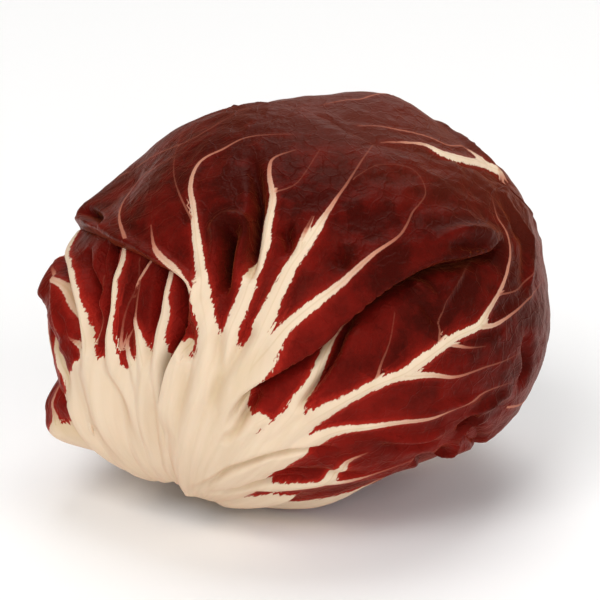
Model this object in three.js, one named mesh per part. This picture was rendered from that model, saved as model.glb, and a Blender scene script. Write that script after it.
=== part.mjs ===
// A round radicchio head: a short conical stem, a heart of tightly folded young leaves, and seven loose outer
// leaves wrapped over one another. It lies on the flat spot of the leaf underneath, with its cut stem low at
// the left front. Millimetres, +Z up, the origin on the ground under the middle of the head.
//
// A place on the head is a direction from its centre: how many degrees it is from the stem (0 is the stem,
// 180 the tip), and how many degrees round the stem (0 faces the front, +90 the right, 180 the back).
import * as THREE from "three";

const RADII = new THREE.Vector3(67, 63, 55); // the head's half width, half depth and half height
const CENTRE_HEIGHT = 50; // less than the half height, so that the leaf underneath is pressed flat
const STEM_LEAN = 34; // degrees between the stem and straight down
const STEM_TURN = 40; // degrees from the left towards the front, seen from above
const OUTER_PITCH = 2.3; // from one outer leaf's surface to the next one's below it
const OUTER_THICKNESS = 1.5;
const HEART_DEPTH = 18; // from the head's own surface to the heart's
const CORNER_START = 0.75; // share of a leaf's length past which its corners are rounded
const CORNER_ROUNDING = 0.6;
const EDGE_START = 0.7; // share of a leaf's breadth past which its edge lifts
const TIP_START = 0.4; // share of its length past which its tip lifts
const GROUND_LAYER = 1; // the layer of the leaf that the head stands on
const STEM_START = 13; // degrees from the stem's axis at which every leaf starts
const STEM_RADIUS = 9.5; // at the cut end
const STEM_RECESS = 3; // from the cut end to the head's own surface
const STEM_GAP = 2; // from the stem's inner end to the heart

// Where the head swells out or sinks in: [from the stem, round the stem, spread, height in mm].
const SWELLS = [
  [60, -87, 21, 7],
  [38, -62, 18, 2.5],
  [102, -88, 18, -5],
  [62, 84, 22, -6],
  [104, 66, 18, 1],
  [150, 60, 20, 3],
  [160, -60, 22, 2],
];

const COLOUR = { red: 0x5a1a18, cream: 0xe6cfae, pale: 0xd9b9a0 };

const radians = THREE.MathUtils.degToRad;

// The head's own axes: to the stem, to the front face, and to the right.
const lean = radians(STEM_LEAN);
const turn = radians(STEM_TURN);
const toStem = new THREE.Vector3(
  -Math.sin(lean) * Math.cos(turn),
  -Math.sin(lean) * Math.sin(turn),
  -Math.cos(lean),
);
const forward = new THREE.Vector3(0, -1, 0);
const toFront = forward.addScaledVector(toStem, -forward.dot(toStem)).normalize();
const toRight = toFront.clone().cross(toStem);

function direction([fromStem, round]) {
  const a = radians(fromStem);
  const r = radians(round);
  return new THREE.Vector3()
    .addScaledVector(toStem, Math.cos(a))
    .addScaledVector(toFront, Math.sin(a) * Math.cos(r))
    .addScaledVector(toRight, Math.sin(a) * Math.sin(r));
}

const swells = SWELLS.map(([fromStem, round, spread, height]) => ({
  to: direction([fromStem, round]),
  width: 1 - Math.cos(radians(spread)),
  height,
}));

// The point of the head's surface in a direction, at a depth below it, with the underside pressed flat.
function place(to, depth) {
  let out = -depth;
  for (const s of swells) out += s.height * Math.exp(-(1 - s.to.dot(to)) / s.width);
  const p = RADII.clone().addScalar(out).multiply(to);
  const ground = Math.max(0, depth - GROUND_LAYER * OUTER_PITCH) - CENTRE_HEIGHT;
  return p.setZ(Math.max(p.z, ground));
}

// The turn from one direction to another, a share of the way.
function between(a, b, share) {
  const angle = a.angleTo(b);
  return a
    .clone()
    .multiplyScalar(Math.sin((1 - share) * angle))
    .addScaledVector(b, Math.sin(share * angle))
    .divideScalar(Math.sin(angle));
}

// How far t has come from start to 1, from 0 to 1, and the same with a smooth start and end.
const rise = (t, start) => Math.max(0, (t - start) / (1 - start));
const smooth = (t) => t * t * (3 - 2 * t);

// A leaf is a closed shell that follows the head's surface. Its left edge, midrib and right edge are curves
// of directions, all from the stem to the tip. lift says how far the left edge, the right edge and the tip
// stand off the head, in mm.
function leafGeometry(leaf) {
  const { left, midrib, right, depth, thickness, across, along } = leaf;
  const lift = { left: 0, right: 0, tip: 0, ...leaf.lift };
  const [l, m, r] = [left, midrib, right].map((line) => new THREE.CatmullRomCurve3(line.map(direction)));
  const positions = [];
  const index = [];
  for (const below of [0, thickness]) {
    for (let j = 0; j <= along; j++) {
      const t = j / along;
      const [pl, pm, pr] = [l, m, r].map((curve) => curve.getPoint(t).normalize());
      const breadth = Math.sqrt(1 - CORNER_ROUNDING * rise(t, CORNER_START) ** 2);
      for (let i = 0; i <= across; i++) {
        const side = (2 * i) / across - 1;
        const share = Math.abs(side) * breadth;
        const to = between(pm, side < 0 ? pl : pr, share);
        const edge = (side < 0 ? lift.left : lift.right) * smooth(rise(share, EDGE_START));
        const p = place(to, depth + below - edge - lift.tip * smooth(rise(t, TIP_START)));
        positions.push(p.x, p.y, p.z);
      }
    }
  }
  const columns = across + 1;
  const inner = columns * (along + 1);
  const quad = (a, b, c, d) => index.push(a, b, c, a, c, d);
  for (let j = 0; j < along; j++) {
    for (let i = 0; i < across; i++) {
      const a = j * columns + i;
      quad(a, a + 1, a + 1 + columns, a + columns);
      quad(inner + a, inner + a + columns, inner + a + 1 + columns, inner + a + 1);
    }
    const first = j * columns;
    const last = first + across;
    quad(first, first + columns, inner + first + columns, inner + first);
    quad(last + columns, last, inner + last, inner + last + columns);
  }
  for (let i = 0; i < across; i++) {
    const top = along * columns + i;
    quad(i + 1, i, inner + i, inner + i + 1);
    quad(top, top + 1, inner + top + 1, inner + top);
  }
  const geometry = new THREE.BufferGeometry();
  geometry.setAttribute("position", new THREE.Float32BufferAttribute(positions, 3));
  geometry.setIndex(index);
  geometry.computeVertexNormals();
  return geometry;
}

// The heart: a closed ball inside the outer leaves, of the head's proportions.
function heartGeometry() {
  const size = RADII.clone().subScalar(HEART_DEPTH);
  return new THREE.SphereGeometry(1, 32, 20).scale(size.x, size.y, size.z);
}

// The stem: a cone that widens from the heart to its cut end, with a rounded rim.
function stemGeometry(innerEnd, cutEnd) {
  const taper = STEM_RADIUS / cutEnd;
  const rim = 1.5;
  const profile = [
    new THREE.Vector2(0, innerEnd),
    new THREE.Vector2(innerEnd * taper, innerEnd),
    new THREE.Vector2(STEM_RADIUS, cutEnd - rim),
    new THREE.Vector2(STEM_RADIUS - rim, cutEnd),
    new THREE.Vector2(0, cutEnd),
  ];
  return new THREE.LatheGeometry(profile, 24);
}

const materials = {
  blade: new THREE.MeshStandardMaterial({ color: COLOUR.red, roughness: 0.45, metalness: 0 }),
  inner: new THREE.MeshStandardMaterial({ color: COLOUR.pale, roughness: 0.5, metalness: 0 }),
  stem: new THREE.MeshStandardMaterial({ color: COLOUR.cream, roughness: 0.6, metalness: 0 }),
};

// The outer leaves, from the outermost layer, 0, inwards. Each line runs from the stem to the tip.
const OUTER_LEAVES = [
  {
    name: "front_leaf",
    layer: 0,
    left: [[STEM_START, -40], [36, -31], [58, -30], [76, -32], [87, -52], [90, -84], [108, -108], [134, -100]],
    midrib: [[STEM_START, -8], [48, -16], [80, -15], [106, -16], [124, -17], [148, -20]],
    right: [[STEM_START, 30], [36, 30], [50, 40], [66, 60], [84, 78], [106, 88], [128, 78], [142, 54]],
    lift: { left: 2.5 },
    across: 20,
    along: 17,
  },
  {
    name: "lower_left_leaf",
    layer: 0,
    left: [[STEM_START, -130], [26, -124], [38, -116], [50, -104]],
    midrib: [[STEM_START, -92], [26, -90], [40, -88], [52, -88]],
    right: [[STEM_START, -60], [26, -64], [38, -70], [48, -78]],
    lift: { tip: 8 },
    across: 10,
    along: 8,
  },
  {
    name: "left_leaf",
    layer: 1,
    left: [[STEM_START, -108], [36, -114], [60, -118], [84, -116], [102, -100]],
    midrib: [[STEM_START, -74], [38, -74], [62, -74], [86, -74], [108, -72]],
    right: [[STEM_START, -36], [36, -24], [60, -20], [84, -22], [104, -40]],
    across: 14,
    along: 12,
  },
  {
    name: "under_leaf",
    layer: 1,
    left: [[STEM_START, 22], [34, 20], [56, 34], [82, 60], [106, 76]],
    midrib: [[STEM_START, 98], [38, 100], [64, 106], [92, 112], [118, 112]],
    right: [[STEM_START, 172], [34, 172], [56, 168], [82, 162], [106, 150]],
    across: 18,
    along: 14,
  },
  {
    name: "right_leaf",
    layer: 2,
    left: [[STEM_START, 40], [45, 32], [80, 24], [112, 6], [134, -28], [142, -64]],
    midrib: [[STEM_START, 92], [54, 92], [98, 92], [140, 92], [180, 92]],
    right: [[STEM_START, 142], [45, 148], [80, 152], [115, 158], [140, 170], [156, 190]],
    across: 18,
    along: 17,
  },
  {
    name: "left_back_leaf",
    layer: 3,
    left: [[STEM_START, 190], [40, 184], [70, 180], [102, 180], [150, 184]],
    midrib: [[STEM_START, 230], [42, 230], [74, 230], [114, 230], [164, 230]],
    right: [[STEM_START, 272], [40, 278], [70, 284], [102, 286], [148, 284]],
    across: 15,
    along: 17,
  },
  {
    name: "back_leaf",
    layer: 4,
    left: [[STEM_START, 124], [44, 104], [82, 84], [118, 70], [150, 60]],
    midrib: [[STEM_START, 166], [48, 166], [88, 166], [132, 166], [180, 166]],
    right: [[STEM_START, 208], [44, 226], [82, 240], [118, 248], [154, 256]],
    across: 18,
    along: 18,
  },
];

const root = new THREE.Group();
const head = new THREE.Group();
head.position.set(0, 0, CENTRE_HEIGHT);
root.add(head);

function addPiece(name, geometry, material) {
  const mesh = new THREE.Mesh(geometry, material);
  mesh.name = name;
  head.add(mesh);
  return mesh;
}

for (const { name, layer, ...leaf } of OUTER_LEAVES) {
  const shape = { ...leaf, depth: layer * OUTER_PITCH, thickness: OUTER_THICKNESS };
  addPiece(name, leafGeometry(shape), materials.blade);
}

addPiece("heart", heartGeometry(), materials.inner);

const heartEnd = RADII.clone().subScalar(HEART_DEPTH).multiply(toStem).length();
const headEnd = RADII.clone().multiply(toStem);
const stemShape = stemGeometry(heartEnd + STEM_GAP, headEnd.length() - STEM_RECESS);
const stem = addPiece("stem", stemShape, materials.stem);
stem.quaternion.setFromUnitVectors(new THREE.Vector3(0, 1, 0), headEnd.clone().normalize());

// The origin lies under the middle of the head's box.
const middle = new THREE.Box3().setFromObject(root).getCenter(new THREE.Vector3());
head.position.x = -middle.x;
head.position.y = -middle.y;

export default root;
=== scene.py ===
"""A radicchio head: its outer leaves, modelled over the CAD frame, with the stage that shows them.

A place on the head is a direction from its middle: degrees from the stem (0 is the stem, 180 the tip), and
degrees round the stem (0 faces the front, +90 the right, 180 the back). Lengths on the head are millimetres.
"""

import functools
import math

import bpy
import numpy as np
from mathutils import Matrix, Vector, noise


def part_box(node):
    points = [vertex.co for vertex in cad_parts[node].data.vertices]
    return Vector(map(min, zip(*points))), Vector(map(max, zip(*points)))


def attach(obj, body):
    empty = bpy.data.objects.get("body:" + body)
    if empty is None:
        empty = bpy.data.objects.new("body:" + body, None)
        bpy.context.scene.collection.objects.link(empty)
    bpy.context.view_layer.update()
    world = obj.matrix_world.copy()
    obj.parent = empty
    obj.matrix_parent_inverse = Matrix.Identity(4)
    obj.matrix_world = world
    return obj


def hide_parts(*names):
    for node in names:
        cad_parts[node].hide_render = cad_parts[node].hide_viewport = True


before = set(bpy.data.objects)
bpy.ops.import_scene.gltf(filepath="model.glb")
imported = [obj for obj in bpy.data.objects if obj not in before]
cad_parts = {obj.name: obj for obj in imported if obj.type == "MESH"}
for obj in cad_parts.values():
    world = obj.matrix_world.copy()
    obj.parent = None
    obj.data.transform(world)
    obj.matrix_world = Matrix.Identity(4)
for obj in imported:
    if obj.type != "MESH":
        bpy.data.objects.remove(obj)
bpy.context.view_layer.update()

bl_info = {
    "name": "Radicchio head",
    "version": (1, 0, 0),
    "blender": (4, 5, 0),
    "location": "3D View > Sidebar > Radicchio",
    "description": "Builds the leaves of a radicchio head over its CAD frame",
    "category": "Object",
}

MM = 0.001

# ---------------------------------------------------------------- the head's form, as the CAD frame has it

HEART_DEPTH = 18.0  # mm from the head's surface to the heart's
STEM_LEAN = 34.0  # degrees from straight down
STEM_TURN = 40.0  # degrees from the left towards the front
LAYER_PITCH = 2.3  # mm from one outer leaf to the next
GROUND_LAYER = 1
GIRTH = 60.0  # mm, the head's mean radius, which turns degrees on it into lengths

heart_low, heart_high = (np.array(corner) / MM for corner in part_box("heart"))
CENTRE = (heart_low + heart_high) / 2
RADII = (heart_high - heart_low) / 2 + HEART_DEPTH

lean = math.radians(STEM_LEAN)
turn = math.radians(STEM_TURN)
TO_STEM = np.array([-math.sin(lean) * math.cos(turn), -math.sin(lean) * math.sin(turn), -math.cos(lean)])
TO_FRONT = np.array([0.0, -1.0, 0.0]) + TO_STEM * TO_STEM[1]
TO_FRONT /= np.linalg.norm(TO_FRONT)
TO_RIGHT = np.cross(TO_FRONT, TO_STEM)


def direction(from_stem, round_stem):
    """Unit vectors for places given in degrees."""
    a = np.radians(np.asarray(from_stem, float))[..., None]
    r = np.radians(np.asarray(round_stem, float))[..., None]
    return np.cos(a) * TO_STEM + np.sin(a) * (np.cos(r) * TO_FRONT + np.sin(r) * TO_RIGHT)


def unit(vectors):
    return vectors / np.linalg.norm(vectors, axis=-1, keepdims=True)


def smooth(t):
    t = np.clip(t, 0, 1)
    return t * t * (3 - 2 * t)


def spline(p0, p1, p2, p3, t):
    """The way from p1 to p2, as t goes from 0 to 1, bent so that it runs on smoothly from p0 and on to p3."""
    bend = 2 * p1 + (p2 - p0) * t + (2 * p0 - 5 * p1 + 4 * p2 - p3) * t**2
    return 0.5 * (bend + (3 * p1 - p0 - 3 * p2 + p3) * t**3)


class Line:
    """A smooth line over the head through listed places. What follows the two angles at each place, such as
    a half width, is carried along it."""

    STEP = 0.7  # mm between its samples

    def __init__(self, places):
        places = np.array(places, float)
        knots = np.column_stack([direction(places[:, 0], places[:, 1]), places[:, 2:]])
        spans = np.linalg.norm(np.diff(knots[:, :3], axis=0), axis=1) * GIRTH
        rows = []
        for i, span in enumerate(spans):
            before = knots[max(i - 1, 0)]
            after = knots[min(i + 2, len(knots) - 1)]
            count = max(2, int(span / self.STEP))
            t = np.linspace(0, 1, count, endpoint=i == len(spans) - 1)[:, None]
            rows.append(spline(before, knots[i], knots[i + 1], after, t))
        samples = np.concatenate(rows)
        self.at = unit(samples[:, :3])
        self.values = samples[:, 3:]
        self.ahead = unit(np.gradient(self.at, axis=0))
        self.left = unit(np.cross(self.at, self.ahead))

    def near(self, to):
        """For each direction: mm from the line, mm to its left (right is negative), its nearest sample."""
        nearest = np.argmax(to @ self.at.T, axis=1)
        offset = (to - self.at[nearest]) * GIRTH
        aside = np.sum(offset * self.left[nearest], axis=1)
        return np.linalg.norm(offset, axis=1), aside, nearest


# Where the head swells out or sinks in: degrees from the stem, round it, spread in degrees, height in mm.
SWELLS = [
    (60, -87, 21, 7.0),
    (38, -62, 18, 2.5),
    (102, -88, 18, -5.0),
    (62, 84, 22, -6.0),
    (104, 66, 18, 1.0),
    (150, 60, 20, 3.0),
    (160, -60, 22, 2.0),
    (34, -82, 13, 5.5),
    (18, -72, 12, 3.5),
    (88, -99, 12, 2.0),
    (118, -100, 16, 2.0),
    (168, -40, 12, 3.5),
    (122, 70, 24, -1.8),
    (76, 66, 12, 2.6),
    (46, 62, 10, -1.6),
]


class Fold:
    """A pleat that all the leaves over it share: on one side of its line the leaf stands up as a brow and
    leans over the valley on the other side. Each place on the line ends with the fold's strength there."""

    END_FADE = 2.0  # mm past the line's ends, where the fold dies out
    CREST = 2.4  # mm across the line, from the valley up to the brow
    LEAN_REACH = 3.0  # mm from the line, where the brow stops leaning
    VALLEY_POWER = 1.4  # the lower, the sharper the valley's floor

    def __init__(self, places, brow_side, brow, valley, lean_over, brow_reach, valley_reach):
        self.line = Line(places)
        self.brow_side, self.brow, self.valley, self.lean_over = brow_side, brow, valley, lean_over
        self.brow_reach, self.valley_reach = brow_reach, valley_reach

    def bend(self, to):
        """The lift in mm and the sideways shift of each direction."""
        _, aside, nearest = self.line.near(to)
        aside = aside * self.brow_side
        ends = np.abs(np.sum((to - self.line.at[nearest]) * self.line.ahead[nearest], axis=1)) * GIRTH
        strength = self.line.values[nearest, 0] * np.exp(-((ends / self.END_FADE) ** 2))
        on_brow = smooth((aside + 1.0) / self.CREST)
        brow = self.brow * np.exp(-((aside / self.brow_reach) ** 2))
        valley = -self.valley * np.exp(-((np.abs(aside) / self.valley_reach) ** self.VALLEY_POWER))
        lift = strength * (on_brow * brow + (1 - on_brow) * valley)
        near = np.exp(-((aside / self.LEAN_REACH) ** 2))
        lean = -self.lean_over * strength * on_brow * near * self.brow_side
        return lift, self.line.left[nearest] * (lean / GIRTH)[:, None]


FOLDS = [
    Fold(
        [(50, -13, 0), (57, -14, 0.3), (64, -13.5, 0.7), (72, -9.5, 0.9), (81, -5, 1), (89, -3, 1.1),
         (97, 0, 1.1), (104, 4, 1), (112, 11, 0.9), (118, 20, 1), (122, 27, 0.75), (125, 32, 0)],
        brow_side=1, brow=2.8, valley=9.0, lean_over=3.8, brow_reach=9.0, valley_reach=3.2,
    ),
    Fold(
        [(62, 1, 0), (66, 2, 0.6), (74, 3, 1), (80, 3, 1), (86, 2, 0.9), (92, 1, 0)],
        brow_side=-1, brow=2.0, valley=5.0, lean_over=2.6, brow_reach=7.0, valley_reach=2.6,
    ),
]


def on_head(to, depth):
    """Points on the head in mm: the way that directions point, that deep below its surface."""
    shape = to.shape[:-1]
    flat = to.reshape(-1, 3)
    out = -np.broadcast_to(np.asarray(depth, float), shape).reshape(-1).copy()
    for from_stem, round_stem, spread, height in SWELLS:
        width = 1 - math.cos(math.radians(spread))
        out += height * np.exp(-(1 - flat @ direction(from_stem, round_stem)) / width)
    moved = flat.copy()
    for fold in FOLDS:
        lift, shift = fold.bend(flat)
        out += lift
        moved += shift
    points = CENTRE + (RADII + out[:, None]) * unit(moved)
    sunk = np.asarray(depth, float) - GROUND_LAYER * LAYER_PITCH
    ground = np.broadcast_to(np.maximum(0.0, sunk), shape).reshape(-1)
    points[:, 2] = np.maximum(points[:, 2], ground)
    return points.reshape(*shape, 3)


# ---------------------------------------------------------------- leaves

NO_RIB = 99.0  # mm, how far the nearest rib is where there is none
CREAM_BAND = 3.5  # mm, the half width of the rib that a cream base counts as
BLADE_EASE = 3.0  # mm from a rib's edge, over which the crumples of the blade come up
BAY_SIZE = 13.0  # mm, a bay of a ragged edge
CRUMPLE_PATCH = 22.0  # mm, a patch that is crumpled more or less than those round it
CREST_SIZE = 9.0  # mm from one crest of the crumples to the next
PUCKER_SIZE = 3.2  # mm, the small puckers on them


def leaf_directions(stations, across, along):
    """The directions of a leaf's grid. Each station is its left edge, midrib and right edge, stem to tip."""
    lines = []
    for k in range(3):
        knots = direction([s[k][0] for s in stations], [s[k][1] for s in stations])
        t = np.linspace(0, len(knots) - 1, along)
        i = np.minimum(t.astype(int), len(knots) - 2)
        before = knots[np.maximum(i - 1, 0)]
        after = knots[np.minimum(i + 2, len(knots) - 1)]
        lines.append(unit(spline(before, knots[i], knots[i + 1], after, (t - i)[:, None])))
    left, middle, right = lines
    side = np.linspace(-1, 1, across)
    rows = []
    for edge, shares in ((left, -side[side < 0]), (right, side[side >= 0])):
        angle = np.arccos(np.clip(np.sum(middle * edge, axis=1), -1, 1))[:, None, None]
        start = np.sin((1 - shares[None, :, None]) * angle) * middle[:, None]
        end = np.sin(shares[None, :, None] * angle) * edge[:, None]
        rows.append((start + end) / np.sin(angle))
    return np.concatenate(rows, axis=1)


def wrinkle(to, size, seed):
    """Seeded noise from -1 to 1 over the head, with bumps of that size in mm. Seeds needn't be whole."""
    places = to * (GIRTH / size) + seed
    return np.array([noise.noise(Vector(p)) for p in places])


def build_leaf(node, layer, across, along, stations, ribs, creases=(), cream_reach=None, edge_lift=None,
               rib_height=1.0, ragged=5.0, seed=0):
    """Adds the skin of one leaf and has it stand for its CAD node. A grid is laid over the head, its free
    edges wandering by as much as ragged, in mm. Its ribs are raised, its creases pressed in or pushed out,
    its blade crumpled and its edges lifted, and it gets its thickness inwards."""
    settings = bpy.context.scene.radicchio
    bpy.ops.object.select_all(action="DESELECT")
    bpy.ops.mesh.primitive_grid_add(x_subdivisions=across - 1, y_subdivisions=along - 1, size=1)
    leaf = bpy.context.object
    leaf.name = leaf.data.name = node + "_skin"
    mesh = leaf.data

    side = np.tile(np.linspace(-1, 1, across), along)
    length = np.repeat(np.linspace(0, 1, along), across)
    to = leaf_directions(stations, across, along)
    ahead, outward = (unit(np.gradient(to, axis=k)).reshape(-1, 3) for k in (0, 1))
    to = to.reshape(-1, 3)
    # The tip wanders over the last 15 hundredths of the leaf's length, and the sides over the outer fifth of
    # each half, but not near the stem.
    at_end = smooth((length - 0.85) / 0.15)
    at_side = np.sign(side) * smooth((np.abs(side) - 0.8) / 0.2) * smooth((length - 0.3) / 0.2)
    wander = ragged / GIRTH * wrinkle(to, BAY_SIZE, seed + 30)
    to = unit(to + ahead * (at_end * wander)[:, None] + outward * (at_side * wander)[:, None])
    from_stem = np.degrees(np.arccos(np.clip(to @ TO_STEM, -1, 1)))
    round_stem = np.degrees(np.arctan2(to @ TO_RIGHT, to @ TO_FRONT))

    edge = np.full(len(to), NO_RIB)
    line = np.full(len(to), NO_RIB)
    width = np.zeros(len(to))
    ridge = np.zeros(len(to))
    for places in ribs:
        rib = Line(places)
        far, aside, nearest = rib.near(to)
        half = rib.values[nearest, 0]
        closer = far - half < edge
        edge = np.where(closer, far - half, edge)
        line = np.where(closer, aside, line)
        width = np.where(closer, half, width)
        # A rib stands 0.35 mm and a fifth of its width high, up to 2.4 mm, and the finest veins stand less.
        height = rib_height * np.minimum(2.4, 0.35 + 0.42 * half) * np.minimum(1, half / 0.5)
        ridge = np.maximum(ridge, height * np.exp(-((far / (half * 0.9 + 0.55)) ** 2)))
    if cream_reach is not None:
        reach = np.interp(round_stem, *zip(*cream_reach))
        past = (from_stem - reach) * math.radians(GIRTH)
        line = np.where(past < edge, np.maximum(0, past + CREAM_BAND), line)
        width = np.where(past < edge, CREAM_BAND, width)
        edge = np.minimum(edge, past)
    creased = np.zeros(len(to))
    for places, spread in creases:
        crease = Line(places)
        far, _, nearest = crease.near(to)
        creased += crease.values[nearest, 0] * np.exp(-((far / spread) ** 2))
    out = ridge + creased
    hollow = np.maximum(0, -creased)
    for fold in FOLDS:
        hollow = np.maximum(hollow, -fold.bend(to)[0])
    # The blade between the ribs is crumpled: sharp crests with small puckers, in patches of 0.5 to 1.8 times
    # the set height.
    blade = smooth(edge / BLADE_EASE)
    crumpled = 0.5 + 1.3 * smooth(0.5 + 1.2 * wrinkle(to, CRUMPLE_PATCH, seed + 4.2))
    waves = 0.6 - 2.0 * np.abs(wrinkle(to, CREST_SIZE, seed)) + 0.6 * wrinkle(to, PUCKER_SIZE, seed + 9.5)
    out += settings.pucker / MM * blade * crumpled * waves
    if edge_lift is not None:
        out += edge_lift(side, length, from_stem)

    points = on_head(to, layer * LAYER_PITCH - out)
    order = np.empty((len(mesh.vertices), 3))
    mesh.vertices.foreach_get("co", order.ravel())
    column = np.rint((order[:, 0] + 0.5) * (across - 1)).astype(int)
    row = np.rint((order[:, 1] + 0.5) * (along - 1)).astype(int)
    index = row * across + column
    mesh.vertices.foreach_set("co", (points[index] * MM).ravel())

    turned = np.radians(round_stem)
    grain = GIRTH * np.column_stack([np.cos(turned), np.sin(turned), np.radians(from_stem)])
    for label, values in (("rib_edge", edge), ("rib_line", line), ("rib_width", width),
                          ("from_stem", from_stem), ("hollow", hollow)):
        mesh.attributes.new(label, "FLOAT", "POINT").data.foreach_set("value", values[index])
    mesh.attributes.new("grain", "FLOAT_VECTOR", "POINT").data.foreach_set("vector", grain[index].ravel())

    mesh.update()
    faces = len(mesh.polygons)
    wall = leaf.modifiers.new("wall", "SOLIDIFY")
    wall.thickness = settings.leaf_thickness
    wall.offset = -1
    bpy.ops.object.modifier_apply(modifier=wall.name)
    bpy.ops.object.shade_smooth()
    lay_out(mesh, faces, column / (across - 1), row / (along - 1))

    mesh.materials.clear()
    mesh.materials.append(leaf_skin(settings))
    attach(leaf, "root")
    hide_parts(node)


# The parts of a leaf's map: left, width, bottom and height.
OUTER_SIDE = (0.02, 0.96, 0.32, 0.66)
INNER_SIDE = (0.02, 0.40, 0.02, 0.26)
# The four rims' strips: left, length, bottom of the first, step to the next, and width.
RIMS = (0.46, 0.52, 0.04, 0.06, 0.03)


def lay_out(mesh, faces, across, along):
    """Gives a leaf its map: the outer side fills most of it, and the inner side and the rims lie below. The
    outer side has that many faces, and its vertices are that far across and along the leaf, from 0 to 1."""
    layout = mesh.uv_layers.new(name="OFBake")
    mesh.uv_layers.active = layout
    count = len(across)
    corners = np.empty(len(mesh.loops), int)
    mesh.loops.foreach_get("vertex_index", corners)
    first = np.empty(len(mesh.polygons), int)
    mesh.polygons.foreach_get("loop_start", first)
    face = np.repeat(np.arange(len(first)), np.diff(np.append(first, len(corners))))
    inner = corners >= count
    a = across[corners % count]
    b = along[corners % count]
    left, width, bottom, height = OUTER_SIDE
    u = left + width * a
    v = bottom + height * b
    left, width, bottom, height = INNER_SIDE
    behind = face >= faces
    u = np.where(behind, left + width * a, u)
    v = np.where(behind, bottom + height * b, v)
    mean_a = np.bincount(face, a) / np.bincount(face)
    mean_b = np.bincount(face, b) / np.bincount(face)
    left, width, bottom, step, height = RIMS
    rim = face >= 2 * faces
    for k, (on_rim, run) in enumerate(
        ((mean_a < 1e-6, b), (mean_a > 1 - 1e-6, b), (mean_b < 1e-6, a), (mean_b > 1 - 1e-6, a))
    ):
        strip = rim & on_rim[face]
        u = np.where(strip, left + width * run, u)
        v = np.where(strip, bottom + step * k + height * inner, v)
    layout.data.foreach_set("uv", np.column_stack([u, v]).ravel())


FRONT_LEAF_STATIONS = [
    ((13, -35), (13, -8), (13, 28)),
    ((35, -33), (30, -12), (30, 27)),
    ((46, -34), (42, -15), (40, 27)),
    ((58, -34), (54, -16), (50, 38)),
    ((68, -33), (66, -16), (58, 46)),
    ((77, -34), (78, -15), (66, 56)),
    ((83, -38), (88, -15), (76, 68)),
    ((85, -52), (97, -16), (86, 80)),
    ((86, -76), (106, -16), (98, 88)),
    ((88, -105), (116, -16), (112, 90)),
    ((106, -120), (126, -17), (126, 84)),
    ((128, -112), (134, -18), (136, 70)),
    ((137, -84), (143, -18), (143, 50)),
]

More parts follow.
